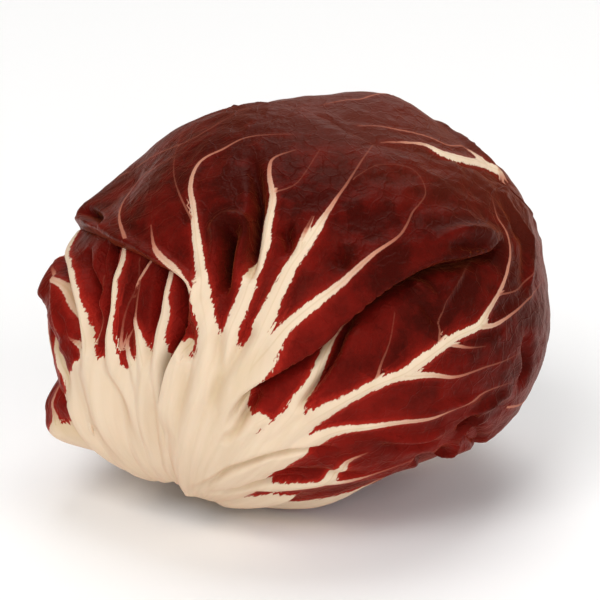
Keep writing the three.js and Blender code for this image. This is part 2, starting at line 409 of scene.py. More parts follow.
FRONT_LEAF_RIBS = [
    [(13, -22, 5), (40, -23, 7), (54, -24, 5), (66, -25, 3.0), (73, -27, 2.4), (80, -31, 2.0),
     (87, -35, 1.4), (100, -45, 0.8), (107, -52, 0.6), (114, -56, 0.45), (120, -54, 0.35), (126, -52, 0.25),
     (132, -42, 0.12)],
    [(13, -18, 4), (54, -18, 5), (68, -21, 3), (76, -22.5, 1.9), (84, -23, 1.7), (91, -24.2, 1.7),
     (98, -25.2, 1.5), (104, -27.4, 1.1), (111, -30.3, 0.8), (117, -35.5, 0.5), (122, -38.5, 0.35),
     (127, -36, 0.15)],
    [(13, -12, 4), (47, -16, 6), (64, -17, 4.0), (74, -16, 2.4), (81, -16.5, 2.0), (88, -17, 1.7),
     (96, -17.5, 1.4), (104, -17, 1.3), (112, -17, 0.65), (118, -17, 0.38), (124, -17, 0.26),
     (140, -18, 0.15)],
    [(101, -17.5, 1.4), (106, -19, 0.4), (110, -19.5, 0.15)],
    [(13, -8, 4), (48, -14, 4), (60, -17, 3.4), (69, -15, 2.4), (76, -13, 1.8), (83, -11.5, 1.3),
     (90, -9, 1.1), (96, -6.5, 0.8), (106, -3, 0.5), (114, 1, 0.3), (122, 2, 0.2)],
    [(30, -10, 5), (44, -10, 5), (51, -9, 4), (56, -6, 2)],
    [(44, -4, 3), (54, -1, 2.6), (60, 0, 2.2), (66, 0, 2.0), (72, 0, 1.5), (78, -1, 1.1), (84, -1, 0.6),
     (89, 0, 0.2)],
    [(13, -4, 4), (40, -2, 6), (50, 2, 4.2), (56, 3, 3.0), (62, 5, 2.2), (69, 8, 1.6), (76, 12, 1.5),
     (82, 17, 1.5), (86, 19, 1.6), (95, 24, 1.2), (100, 29, 1.1), (106, 31, 0.7), (114, 34, 0.5),
     (122, 36, 0.4), (128, 35, 0.35), (132, 31, 0.25), (138, 30, 0.12)],
    [(100, 29, 0.9), (102, 34, 0.6), (108, 41, 0.35), (114, 48, 0.25), (120, 58, 0.12)],
    [(80, 15, 1.3), (84, 23, 0.8), (86, 30, 0.4), (91, 37, 0.25), (94, 42, 0.2), (98, 48, 0.12)],
    [(88, 20, 0.8), (92, 21, 0.4), (95, 20, 0.25), (102, 18, 0.15), (111, 20, 0.12), (119, 26, 0.1)],
    [(74, 11, 1.0), (78, 12, 0.5), (82, 11, 0.25), (88, 10, 0.15), (95, 8, 0.12)],
    [(93, 23, 0.7), (94, 29, 0.3), (96, 34, 0.12)],
    [(30, 0, 4), (48, 6, 3.4), (56, 9, 2.4), (62, 13, 1.5), (66, 19, 1.0), (70, 25, 0.7), (74, 32, 0.5),
     (80, 37, 0.35), (86, 43, 0.25), (90, 50, 0.12)],
    [(13, 2, 4), (30, 4, 4.5), (35, 15, 2.6), (39, 21, 1.8), (44, 25.5, 1.4), (50, 24.5, 1.2), (54, 23, 0.6),
     (58, 25, 0.2)],
    [(44, 26, 1.2), (47, 31, 0.7), (54, 36, 0.3), (62, 41, 0.15)],
    [(84, 56, 0.4), (88, 68, 0.3), (96, 72, 0.25), (103, 68, 0.15)],
    [(60, 40, 0.1), (62, 44, 0.4), (62, 48, 0.2)],
    [(88, -58, 0.35), (94, -70, 0.35), (105, -82, 0.25), (110, -74, 0.2), (116, -66, 0.12)],
    [(93, -54, 0.2), (89, -50, 0.4), (87, -46, 0.6), (85, -40, 0.8), (82, -35, 0.9)],
    [(102, -104, 0.25), (112, -90, 0.25), (118, -74, 0.2), (125, -70, 0.2), (137, -74, 0.12)],
    [(13, -33, 4), (40, -32, 4), (52, -32, 3), (62, -33, 2.4), (67, -33, 1)],
    [(13, -28, 4), (36, -28, 5), (50, -29, 4), (60, -30.5, 3.4), (65, -31.5, 2.6), (68, -31, 1.2)],
    [(13, 20, 5), (28, 24, 4), (33, 28, 2.0), (36, 32, 0.5)],
    [(98, -44, 0.3), (108, -60, 0.16), (122, -84, 0.12)],
    [(113, -31, 0.25), (118, -28, 0.14), (130, -30, 0.1)],
    [(122, 2, 0.2), (130, 4, 0.14), (136, -2, 0.12), (133, -12, 0.1), (126, -16, 0.1)],
    [(110, 33, 0.3), (114, 41, 0.2), (122, 50, 0.18)],
]

FRONT_LEAF_CREASES = [
    ([(83, -28, 0), (86, -29, -5), (91, -31, -8), (96, -33, -8), (99, -34, -5), (101, -35, 0)], 1.3),
    ([(87, -32.5, 0), (91, -34, 1.6), (96, -36, 2.2), (99, -38, 2.4), (102, -37, 2.6), (103, -33.5, 2.4),
      (101, -30.8, 2.0), (96, -29.4, 1.6), (90, -27.6, 1.2), (86, -26.5, 0)], 1.4),
    ([(88, -24, 0), (92, -25.2, -4), (97, -27.2, -7), (103, -30, -8), (109, -33, -7), (115, -38, -4),
      (119, -43, -1.5), (121, -46, 0)], 1.3),
    ([(97, -20, 0), (101, -20.5, -3.5), (104, -23, -3.5), (107, -23, 0)], 1.3),
    ([(64, -30, 0), (67, -30.5, -2.2), (71, -32, -2.2), (75, -33, 0)], 2.0),
    ([(12, -32, 0), (34, -6, -1.6), (46, 1, -2.2), (52, 8, -1.8), (56, 16, -0.5)], 0.9),
    ([(20, -10, 0), (29, 4, -1.6), (36, 9, -2.0), (42, 18, -1.0)], 0.9),
    ([(45, -12, 0), (48, -11, -1.2), (51, -10, -2.4), (54, -10, -3.2), (58, -10, -3.4), (61, -10, -3),
      (64, -10, 0)], 1.1),
    ([(30, -6, 0), (38, -8, -0.8), (46, -9.5, -1.0), (52, -8.5, 0)], 3.0),
    ([(38, 8, 0), (41, 11, -1.8), (44, 15, -1.6), (47, 21, -1.4), (49, 28, -1.2), (52, 32, 0)], 1.6),
    ([(80, -19.5, 0), (77, -18.5, -1.6), (70, -18.5, -1.8), (61, -19.5, -1.4), (50, -20.5, -0.8),
      (40, -20, 0)], 1.7),
    ([(77, -24.5, 0), (73, -24, -1.5), (68, -22, -1.8), (61, -20, -1.4), (51, -17, -1.0), (38, -15, 0)], 1.7),
    ([(78, -13.5, 0), (73, -14, -1.4), (66, -15.5, -1.2), (56, -15, -0.8), (46, -13, 0)], 1.8),
    ([(66, -29, 0), (60, -28.5, -1.4), (52, -27.5, -1.4), (42, -27, -0.8), (30, -26, 0)], 2.2),
    ([(107, -11, 0), (106, -9.5, 1.8), (104.5, -7.5, 2.0), (102, -5.5, 1.4), (100, -5, 0)], 1.1),
    ([(104, -11, 0), (103, -9.5, -1.8), (101, -8, -1.6), (99, -8, 0)], 1.1),
    ([(116, 12, 0), (118, 14, -2.2), (120, 17.5, -3.0), (122, 22, -2.6), (124, 28, 0)], 1.0),
    ([(115, 9, 0), (118, 11.5, 1.2), (122, 17, 1.5), (125, 26, 0)], 1.3),
    ([(60, 41, 0), (62, 44, -4), (62, 48, -6), (64, 49.5, -5), (67, 47, -1)], 1.7),
    ([(70, 48, 0), (72, 49.5, -4), (75, 50, -4), (77, 49, 0)], 1.3),
    ([(73, 43, 0), (75, 44, -3.5), (77.5, 45, -3.5), (79, 46, 0)], 1.2),
    ([(60, 46, 0), (65, 52, 1.6), (69, 50, 1.8), (72, 46.5, 1.6), (76, 47.5, 1.6), (80, 50, 0)], 1.3),
    ([(75, 29, 0), (77, 32, 1.2), (81, 37, 1.4), (84, 43, 0)], 1.4),
    ([(64, 23, 0), (65, 28, 1.4), (68, 36, 1.4), (72, 39, 0.8), (74, 42, 0)], 1.5),
    ([(77, 43, 0), (81, 46, 1.4), (85, 49, 1.4), (89, 54, 0)], 1.6),
    ([(62, 25, 0), (63, 31, -1.3), (66, 38, -1.5), (69, 41, 0)], 1.5),
    ([(142, 37, 0), (136, 43, 1.3), (132, 47, 1.5), (128, 50, 1.5), (118, 47, 0.9), (110, 47, 0)], 1.6),
    ([(142, 32, 0), (134, 40, -1.2), (127, 45, -1.2), (118, 43, -0.7), (112, 43, 0)], 2.2),
    ([(104, 50, 0), (101, 50, -2.5), (97, 54, -3), (92, 56, -2), (89, 56, 0)], 1.8),
    ([(75, 45, 0), (75, 48, -2), (74, 52, -4), (72, 60, -3), (70, 65, 0)], 1.8),
    ([(57, 52, 0), (59, 51, -2), (62, 50, -5), (64, 49, -3), (66, 48, 0)], 2.2),
    ([(106, 7, 0), (105, 9, 2.4), (103, 13, 2.2), (101, 17, 1.2), (99, 19, 0)], 1.1),
    ([(101, 12, 0), (99, 15, -1.6), (97, 19, -1.4), (96, 22, 0)], 1.3),
    ([(101, 18, 0), (104, 17.5, 1.6), (110, 19, 1.8), (116, 22, 0)], 1.2),
    ([(117, 11, 0), (120, 14, 1.3), (123, 20, 1.7), (126, 27, 1.2), (127, 33, 0)], 1.6),
    ([(90, -97, 0), (91, -92, -4.5), (90.5, -84, -5.5), (89.5, -77, -4), (88, -71, 0)], 1.2),
]


LIP_RISE = 2.6  # mm, the lip's back over the blade
LIP_ROLL = 2.4  # mm, how far its very edge turns down
MARGIN_WAVE = 0.5  # mm
JOINED_DEPTH = 3.0  # mm, how deep the margin lies where it is one with the next leaf
TIP_DIP = 1.4  # mm


def front_edge_lift(side, length, from_stem):
    """The left margin rolls under in a thick lip, and near the stem it grows together with the next leaf.
    Both margins wave a little, and the tip lies down."""
    free = smooth((length - 0.36) / 0.1)
    lip = LIP_RISE * np.exp(-(((side + 0.9) / 0.08) ** 2)) - LIP_ROLL * smooth((-side - 0.93) / 0.07)
    lip *= 1 - smooth((length - 0.76) / 0.1)
    wave = MARGIN_WAVE * smooth((np.abs(side) - 0.85) / 0.15) * np.sin(length * 46)
    joined = -JOINED_DEPTH * smooth((-side - 0.5) / 0.5) * (1 - smooth((from_stem - 38) / 12))
    tip = -TIP_DIP * smooth((length - 0.9) / 0.1)
    return free * (lip + wave) + joined + tip


def rising_tip(height):
    """The edge lift of a leaf that closes over the head's tip: between 126 and 146 degrees from the stem it
    comes up by that height in mm."""

    def lift(side, length, from_stem):
        return height * smooth((from_stem - 126) / 20)

    return lift


LEFT_LEAF_STATIONS = [
    ((13, -112), (13, -70), (13, -30)),
    ((30, -112), (30, -68), (30, -26)),
    ((48, -112), (48, -66), (48, -24)),
    ((66, -114), (66, -68), (66, -26)),
    ((84, -110), (86, -72), (84, -34)),
    ((100, -96), (106, -72), (100, -52)),
]

LEFT_LEAF_RIBS = [
    [(13, -32, 3), (42, -34, 3), (55, -37, 2.8), (63, -39, 2.4), (68, -40, 1.8), (73, -40.5, 1.4),
     (78, -42, 1.0), (83, -43, 0.8), (90, -45, 0.5)],
    [(13, -54, 3), (42, -46, 3), (53, -52.5, 2.6), (60, -55, 2.0), (66, -56.7, 1.7), (72, -57.3, 1.4),
     (76, -58.5, 1.2), (82, -59, 0.9), (88, -62, 0.6)],
    [(16, -42, 3), (48, -41, 3), (56, -42, 2.2), (61, -44, 1.5), (65, -46, 1.0), (68, -48, 0.7),
     (71, -49, 0.3), (80, -51, 0.15)],
    [(48, -42, 2), (56, -46, 1.2), (62, -50, 0.4), (67, -49, 0.2)],
    [(13, -72, 4), (36, -60, 4), (51, -62, 3.0), (58, -63.5, 1.5), (64, -66, 1.3), (69, -70, 1.4),
     (73, -75, 1.5), (76, -82, 1.6), (79, -91, 1.7), (85, -97, 1.0)],
    [(60, -68, 0.8), (64, -71, 0.8), (70, -79, 0.8), (72, -88, 0.5), (74, -94, 0.2)],
    [(13, -84, 4), (30, -74, 3), (40, -74, 2.0), (46, -75, 1.5), (50, -78, 1.3), (54, -81, 1.0),
     (58, -84, 0.7), (63, -88, 0.25)],
    [(36, -64, 3), (48, -62, 1.5), (55, -66, 1.2), (58, -71, 0.2)],
    [(16, -96, 4), (36, -96, 3), (52, -98, 1.4), (70, -100, 0.6), (88, -98, 0.2)],
    [(60, -51, 0.5), (66, -52.5, 0.2), (76, -54, 0.12), (84, -55, 0.1)],
    [(59, -61, 0.4), (66, -61.5, 0.15), (76, -66, 0.1)],
    [(60, -76, 0.2), (66, -82, 0.2), (72, -90, 0.12)],
    [(74, -53, 0.2), (80, -51, 0.5), (88, -50, 0.4)],
]

# How far the cream of the left leaf's base reaches: degrees round the stem, degrees from it.
LEFT_LEAF_CREAM = [
    (-110, 38), (-95, 38), (-84, 40), (-77, 43), (-73, 48), (-66, 55), (-62, 54), (-55, 56), (-48, 54),
    (-44, 60),
    (-40, 58), (-35, 62), (-30, 65), (-24, 66),
]

LEFT_LEAF_CREASES = [
    ([(86, -66, -5), (81, -64, -7), (77, -62.5, -8), (73, -61, -8), (69, -59.5, -7), (65, -59, -5),
      (60, -58.5, -2), (52, -56, 0)], 1.7),
    ([(86, -53, -2.5), (78, -54, -3), (71, -52, -2.5), (64, -50, -1.5), (58, -48, 0)], 1.6),
    ([(86, -46.5, -4), (79, -45, -4.5), (73, -43.5, -4), (68, -43, -3), (62, -42, -2), (56, -41, 0)], 1.3),
    ([(85, -39, -5), (79, -36.5, -6), (74, -34.5, -6), (70, -33.5, -5.5), (65, -34, -5), (60, -34.5, -4.5),
      (54, -33, -3.5), (48, -32, -2.5), (37, -31, -1.2), (28, -32, 0)], 1.8),
    ([(80, -77, -5), (76, -71, -6), (72, -66.5, -6), (68, -64.5, -5), (65, -63, -4), (59, -62, -2),
      (54, -61, 0)], 1.4),
    ([(84, -70, -2), (80, -68, -2.5), (74, -64.5, -2), (70, -63, 0)], 1.2),
    ([(80, -100, -4), (76, -91, -5), (73, -81, -5), (68, -74, -5), (63, -70, -4), (57, -68, -2),
      (50, -66, 0)], 1.8),
    ([(64, -92, -3), (58, -84, -3.5), (52, -78, -3), (46, -75, -2), (40, -75, 0)], 1.8),
    ([(80, -104, 1), (74, -97, 3), (67, -92, 3), (62, -92, 0), (56, -91, -2), (48, -90, -2.5),
      (42, -92, 0)], 3.4),
    ([(74, -88, 1.2), (66, -80, 1.5), (60, -76, 1), (54, -73, 0)], 1.4),
    ([(54, -57, 0), (46, -51, -1.4), (36, -48, -1.2), (24, -44, 0)], 2.6),
    ([(56, -38.5, 0), (44, -37.5, -1.0), (34, -38, -1.0), (24, -38, 0)], 2.0),
    ([(50, -66, 0), (38, -66, -1.4), (28, -64, -1.2), (18, -60, 0)], 2.6),
]

LOWER_LEFT_LEAF_STATIONS = [
    ((15, -124), (15, -104), (15, -86)),
    ((22, -122), (22, -98), (21, -79)),
    ((30, -116), (30, -92), (29, -71)),
    ((38, -108), (38, -88), (38, -68)),
    ((45, -98), (46, -87), (45, -77)),
]

LOWER_LEFT_LEAF_RIBS = [
    [(34, -84, 1.5), (38, -83, 0.8), (42, -83, 0.45), (46, -84, 0.25)],
]

# How far the cream of the lobe's base reaches: degrees round the stem, degrees from it.
LOWER_LEFT_LEAF_CREAM = [(-124, 32), (-100, 34), (-90, 35), (-84, 37), (-79, 36), (-74, 38), (-68, 46)]

LOWER_LEFT_LEAF_CREASES = [
    ([(26, -78, 0), (31, -77, -1.8), (36, -80, -2.6), (40, -86, -1.5), (42, -92, 0)], 3.2),
]


LOBE_SEAT = 1.4  # mm, how deep the lobe's right margin lies
LOBE_RISE = 1.6  # mm, how far the rest of it lifts
LOBE_BULGE = 6.0  # mm more in the middle of its length
LOBE_JOINED = 1.2  # mm, how much deeper the right margin lies towards the tip
LOBE_TIP = 3.6  # mm, how far its tip sinks


def lower_left_edge_lift(side, length, from_stem):
    """The lobe bulges off the head in the middle of its length. Its right margin lies on the next leaf, and
    its tip sinks into it."""
    bulge = LOBE_RISE + LOBE_BULGE * np.exp(-(((from_stem - 35) / 8) ** 2))
    joined = -LOBE_JOINED * smooth((from_stem - 33) / 5) * smooth((side - 0.5) / 0.5)
    tip = -LOBE_TIP * smooth((length - 0.82) / 0.18)
    return -LOBE_SEAT + bulge * smooth((0.95 - side) / 1.1) + joined + tip


UNDER_LEAF_STATIONS = [
    ((13, 10), (13, 98), (13, 172)),
    ((34, 14), (36, 100), (34, 172)),
    ((54, 28), (60, 106), (56, 168)),
    ((78, 52), (90, 112), (82, 162)),
    ((102, 70), (114, 112), (104, 152)),
]

UNDER_LEAF_RIBS = [
    [(13, 20, 4), (34, 20, 4), (40, 24, 2), (46, 28, 0.6)],
    [(13, 60, 5), (28, 56, 5), (36, 56, 3), (42, 58, 1), (50, 62, 0.3), (62, 68, 0.2)],
    [(13, 112, 7), (36, 112, 7), (60, 112, 3.5), (88, 112, 1.6), (112, 112, 0.4)],
    [(13, 146, 4), (36, 146, 4), (60, 148, 2), (90, 148, 0.5)],
]

RIGHT_LEAF_STATIONS = [
    ((13, 40), (13, 92), (13, 142)),
    ((45, 32), (50, 92), (45, 148)),
    ((80, 24), (88, 92), (80, 152)),
    ((112, 6), (126, 92), (115, 158)),
    ((134, -34), (160, 92), (142, 168)),
    ((138, -98), (186, 92), (158, 200)),
]

RIGHT_LEAF_RIBS = [
    [(13, 92, 6), (50, 92, 4), (90, 92, 2), (130, 90, 1.2), (158, 84, 0.6), (172, 60, 0.2)],
    [(13, 60, 5), (50, 50, 3), (90, 48, 1.2), (130, 46, 0.6), (154, 40, 0.4)],
    [(143, -16, 0.2), (146, -9, 0.4), (149, 1, 0.7), (148, 10, 1.5), (149, 21, 1.6), (150, 34, 1.4),
     (147, 46, 0.4)],
    [(157, 26, 0.2), (154, 32, 0.8), (151, 35, 1.0)],
    [(150, -52, 0.2), (155, -49, 0.25), (158, -44, 0.3), (167, -44, 0.3), (169, -34, 0.2)],
    [(146, -28, 0.2), (149, -22, 0.25), (151, -14, 0.3), (154, 2, 0.3), (154, 14, 0.3), (157, 26, 0.3)],
    [(13, 124, 5), (50, 128, 3), (90, 130, 1.2), (130, 130, 0.5), (150, 140, 0.2)],
]

RIGHT_LEAF_CREASES = [
    ([(170, 16, 0), (167, 36, 1.4), (158, 37, 1.8), (150, 41, 1.5), (146, 50, 0)], 1.3),
    ([(169, 34, 0), (164, 46, -2.2), (157, 46, -2.4), (150, 50, -1.6), (146, 58, 0)], 1.8),
]

LEFT_BACK_LEAF_STATIONS = [
    ((13, 190), (13, 230), (13, 268)),
    ((40, 184), (42, 230), (40, 272)),
    ((70, 180), (74, 230), (70, 276)),
    ((102, 180), (114, 230), (102, 282)),
    ((144, 184), (168, 230), (152, 290)),
]

LEFT_BACK_LEAF_RIBS = [
    [(13, 230, 7), (42, 230, 5), (74, 230, 2.6), (110, 230, 1.2), (150, 230, 0.4)],
    [(13, 210, 4), (42, 208, 3), (74, 202, 1.2), (110, 198, 0.4)],
    [(13, 252, 4), (42, 254, 3.5), (74, 260, 1.6), (110, 266, 0.5)],
]

BACK_LEAF_STATIONS = [
    ((13, 124), (13, 166), (13, 208)),
    ((44, 104), (48, 166), (44, 226)),
    ((82, 84), (90, 166), (82, 240)),
    ((118, 70), (134, 166), (118, 248)),
    ((148, 56), (172, 166), (144, 270)),
    ((146, 12), (206, 166), (138, 316)),
]

BACK_LEAF_RIBS = [
    [(13, 166, 7), (48, 166, 5), (90, 166, 2.4), (134, 166, 1), (166, 166, 0.3)],
    [(13, 146, 4), (48, 140, 3), (90, 134, 1.2), (134, 124, 0.4)],
    [(13, 188, 4), (48, 192, 3), (90, 198, 1.2), (134, 204, 0.4)],
]

# ---------------------------------------------------------------- materials


def colour(code):
    """Linear RGBA of an sRGB hex value."""
    channels = [int(code[i:i + 2], 16) / 255 for i in (1, 3, 5)]
    linear = [c / 12.92 if c <= 0.04045 else ((c + 0.055) / 1.055) ** 2.4 for c in channels]
    return (*linear, 1.0)


# What a Map Range node is set to where its change comes on and goes off softly.
EASED = {"interpolation_type": "SMOOTHSTEP"}


def add_node(tree, kind, inputs=None, **settings):
    """Adds a node, sets it, and links or sets its inputs. Returns the node."""
    node = tree.nodes.new(kind)
    for key, value in settings.items():
        setattr(node, key, value)
    for key, value in (inputs or {}).items():
        if isinstance(value, bpy.types.NodeSocket):
            tree.links.new(value, node.inputs[key])
        else:
            node.inputs[key].default_value = value
    return node


# Painted shade: the near-black colour that the blade is painted with down in its folds.
FOLD_PAINTED_SHADE = colour("#140303")  # the blade where hardly any light reaches it


def leaf_skin(settings):
    """The skin of a radicchio leaf: a dark red blade with a faint waxy sheen, fleshy cream ribs with ragged
    red edges that follow the grain, and fine pink veins."""
    if "Radicchio leaf skin" in bpy.data.materials:
        return bpy.data.materials["Radicchio leaf skin"]
    material = bpy.data.materials.new("Radicchio leaf skin")
    material.use_nodes = True
    tree = material.node_tree
    tree.nodes.clear()
    add = functools.partial(add_node, tree)

    edge = add("ShaderNodeAttribute", attribute_name="rib_edge").outputs["Fac"]
    line = add("ShaderNodeAttribute", attribute_name="rib_line").outputs["Fac"]
    width = add("ShaderNodeAttribute", attribute_name="rib_width").outputs["Fac"]
    far = add("ShaderNodeAttribute", attribute_name="from_stem").outputs["Fac"]
    hollow = add("ShaderNodeAttribute", attribute_name="hollow").outputs["Fac"]
    grain = add("ShaderNodeAttribute", attribute_name="grain").outputs["Vector"]
    place = add("ShaderNodeTexCoord").outputs["Object"]

    # How far the skin is from the edge of its rib, in mm. Across a rib the signed distance from its middle is
    # the sharper reading of the two, and past its end only the other one holds.
    across = add("ShaderNodeMath", {0: line}, operation="ABSOLUTE").outputs[0]
    across = add("ShaderNodeMath", {0: across, 1: width}, operation="SUBTRACT").outputs[0]
    edge = add("ShaderNodeMath", {0: edge, 1: 0.5}, operation="SUBTRACT").outputs[0]
    edge = add("ShaderNodeMath", {0: across, 1: edge}, operation="MAXIMUM").outputs[0]

    # The red frays where it meets a rib: tongues 1.4 mm wide and 5 mm long with teeth 0.4 mm wide on them.
    tongues = add(
        "ShaderNodeVectorMath", {0: grain, 1: (1 / 1.4, 1 / 1.4, 1 / 5)}, operation="MULTIPLY"
    ).outputs[0]
    tongues = add("ShaderNodeTexNoise", {"Vector": tongues, "Scale": 1.0, "Detail": 1.0}).outputs["Fac"]
    teeth = add(
        "ShaderNodeVectorMath", {0: grain, 1: (1 / 0.4, 1 / 0.4, 1 / 1.3)}, operation="MULTIPLY"
    ).outputs[0]
    teeth = add("ShaderNodeTexNoise", {"Vector": teeth, "Scale": 1.0, "Detail": 2.0}).outputs["Fac"]
    reach = add(
        "ShaderNodeMapRange",
        {"Value": width, "From Min": 0.2, "From Max": 4.0, "To Min": 0.15, "To Max": 3.0},
        **EASED,
    ).outputs[0]
    fray = add("ShaderNodeMath", {0: tongues, 1: -0.5}, operation="ADD").outputs[0]
    fray = add("ShaderNodeMath", {0: fray, 1: reach, 2: edge}, operation="MULTIPLY_ADD").outputs[0]
    reach = add(
        "ShaderNodeMapRange",
        {"Value": width, "From Min": 0.2, "From Max": 2.0, "To Min": 0.1, "To Max": 1.6},
        **EASED,
    ).outputs[0]
    teeth = add("ShaderNodeMath", {0: teeth, 1: -0.5}, operation="ADD").outputs[0]
    fray = add("ShaderNodeMath", {0: teeth, 1: reach, 2: fray}, operation="MULTIPLY_ADD").outputs[0]
    rib = add("ShaderNodeMapRange", {"Value": fray, "From Min": 0.12, "From Max": -0.12}, **EASED).outputs[0]

    # A rib's colour fades with its width, and the finest veins are only a tint of the blade.
    faint = add(
        "ShaderNodeMapRange", {"Value": width, "From Min": 0.1, "From Max": 0.5, "To Min": 0.15}, **EASED
    ).outputs[0]
    rib = add("ShaderNodeMath", {0: rib, 1: faint}, operation="MULTIPLY").outputs[0]

    # The blade: darker away from the ribs and the stem, in cloudy patches 12 mm across with finer mottling.
    patch = add(
        "ShaderNodeTexNoise", {"Vector": place, "Scale": 1 / (12 * MM), "Detail": 7.0, "Roughness": 0.66}
    ).outputs["Fac"]
    patch = add(
        "ShaderNodeMapRange",
        {"Value": patch, "From Min": 0.3, "From Max": 0.7, "To Min": -0.25, "To Max": 0.35},
        **EASED,
    ).outputs[0]
    broad = add(
        "ShaderNodeMapRange", {"Value": width, "From Min": 0.3, "From Max": 1.2, "To Min": 0.15}, **EASED
    ).outputs[0]
    near_rib = add(
        "ShaderNodeMapRange", {"Value": edge, "From Min": 7.0, "From Max": 0.0, "To Max": 0.35}, **EASED
    ).outputs[0]
    near_rib = add("ShaderNodeMath", {0: near_rib, 1: broad}, operation="MULTIPLY").outputs[0]
    low = add("ShaderNodeMapRange", {"Value": far, "From Min": 108.0, "From Max": 55.0}, **EASED).outputs[0]
    warmth = add("ShaderNodeMath", {0: low, 1: 0.6, 2: near_rib}, operation="MULTIPLY_ADD").outputs[0]
    warmth = add("ShaderNodeMath", {0: warmth, 1: patch}, operation="ADD", use_clamp=True).outputs[0]
    blade = add(
        "ShaderNodeMix",
        {"Factor": warmth, 6: (*settings.blade_dark, 1), 7: (*settings.blade_red, 1)},
        data_type="RGBA",
    ).outputs[2]

    # Painted sheen: over the tip the blade is painted brown in place of the warm sheen that the lights lay
    # there. It is clear red close to the ribs.
    painted_tip_sheen = add(
        "ShaderNodeMapRange", {"Value": far, "From Min": 116.0, "From Max": 152.0, "To Max": 0.75}, **EASED
    ).outputs[0]
    blade = add(
        "ShaderNodeMix", {"Factor": painted_tip_sheen, 6: blade, 7: (*settings.blade_sheen_brown, 1)}, data_type="RGBA"
    ).outputs[2]
    flush = add("ShaderNodeMapRange", {"Value": fray, "From Min": 1.6, "From Max": 0.0}, **EASED).outputs[0]
    flush_reach = add(
        "ShaderNodeMapRange",
        {"Value": far, "From Min": 108.0, "From Max": 60.0, "To Min": 0.25, "To Max": 0.7},
        **EASED,
    ).outputs[0]
    flush = add("ShaderNodeMath", {0: flush, 1: flush_reach}, operation="MULTIPLY").outputs[0]
    flush = add("ShaderNodeMath", {0: flush, 1: broad}, operation="MULTIPLY").outputs[0]
    blade = add(
        "ShaderNodeMix", {"Factor": flush, 6: blade, 7: (*settings.rib_red, 1)}, data_type="RGBA"
    ).outputs[2]

    # The net of fine veins, only felt as relief: cells 6 mm across with wavering sides, drawn 0.4 mm wide.
    waver = add(
        "ShaderNodeTexNoise", {"Vector": place, "Scale": 1 / (5 * MM), "Detail": 2.0}
    ).outputs["Color"]
    bent = add(
        "ShaderNodeVectorMath", {0: waver, 1: (3 * MM,) * 3, 2: place}, operation="MULTIPLY_ADD"
    ).outputs[0]
    net = add(
        "ShaderNodeTexVoronoi", {"Vector": bent, "Scale": 1 / (6 * MM)}, feature="DISTANCE_TO_EDGE"
    ).outputs[0]
    vein = add("ShaderNodeMapRange", {"Value": net, "From Min": 0.06, "From Max": 0.0}, **EASED).outputs[0]

    # Painted shade: little light reaches down into the folds, so the blade is painted at its darkest there,
    # darker from 1.5 to 8 mm deep.
    depth = add(
        "ShaderNodeMapRange", {"Value": hollow, "From Min": 1.5, "From Max": 8.0, "To Max": 0.9}, **EASED
    ).outputs[0]
    blade = add("ShaderNodeMix", {"Factor": depth, 6: blade, 7: FOLD_PAINTED_SHADE}, data_type="RGBA").outputs[2]

    # The ribs: cream, darker in streaks 2.6 mm wide and 26 mm long, with painted shade in the hollows and a
    # fine groove down the middle drawn as a line of painted shade. The narrowest of them are pink veins.
    streaks = add(
        "ShaderNodeVectorMath", {0: grain, 1: (1 / 2.6, 1 / 2.6, 1 / 26)}, operation="MULTIPLY"
    ).outputs[0]
    streaks = add("ShaderNodeTexNoise", {"Vector": streaks, "Scale": 1.0, "Detail": 3.0}).outputs["Fac"]
    rib_tone_and_painted_shade = add(
        "ShaderNodeMapRange", {"Value": streaks, "From Min": 0.35, "From Max": 0.75, "To Max": 0.2}, **EASED
    ).outputs[0]
    # Painted shade: the ribs darken in the hollows, from 0.2 to 3 mm deep.
    sunk = add(
        "ShaderNodeMapRange", {"Value": hollow, "From Min": 0.2, "From Max": 3.0, "To Max": 0.6}, **EASED
    ).outputs[0]
    rib_tone_and_painted_shade = add("ShaderNodeMath", {0: rib_tone_and_painted_shade, 1: sunk}, operation="ADD", use_clamp=True).outputs[0]
    # Painted shade of a fine groove down the middle of the narrower ribs.
    middle = add("ShaderNodeMath", {0: line}, operation="ABSOLUTE").outputs[0]
    middle = add(
        "ShaderNodeMapRange", {"Value": middle, "From Min": 0.28, "From Max": 0.05}, **EASED
    ).outputs[0]
    slim = add(
        "ShaderNodeMapRange", {"Value": width, "From Min": 3.0, "From Max": 1.2, "To Max": 0.35}, **EASED
    ).outputs[0]
    rib_tone_and_painted_shade = add(
        "ShaderNodeMath", {0: middle, 1: slim, 2: rib_tone_and_painted_shade}, operation="MULTIPLY_ADD", use_clamp=True
    ).outputs[0]
    flesh = add(
        "ShaderNodeMix",
        {"Factor": rib_tone_and_painted_shade, 6: (*settings.cream, 1), 7: (*settings.cream_streak_and_shade, 1)},
        data_type="RGBA",
    ).outputs[2]
    pink = add(
        "ShaderNodeMapRange", {"Value": width, "From Min": 1.1, "From Max": 0.25, "To Max": 0.95}, **EASED
    ).outputs[0]
    flesh = add(
        "ShaderNodeMix", {"Factor": pink, 6: flesh, 7: (*settings.vein, 1)}, data_type="RGBA"
    ).outputs[2]
    skin = add("ShaderNodeMix", {"Factor": rib, 6: blade, 7: flesh}, data_type="RGBA").outputs[2]

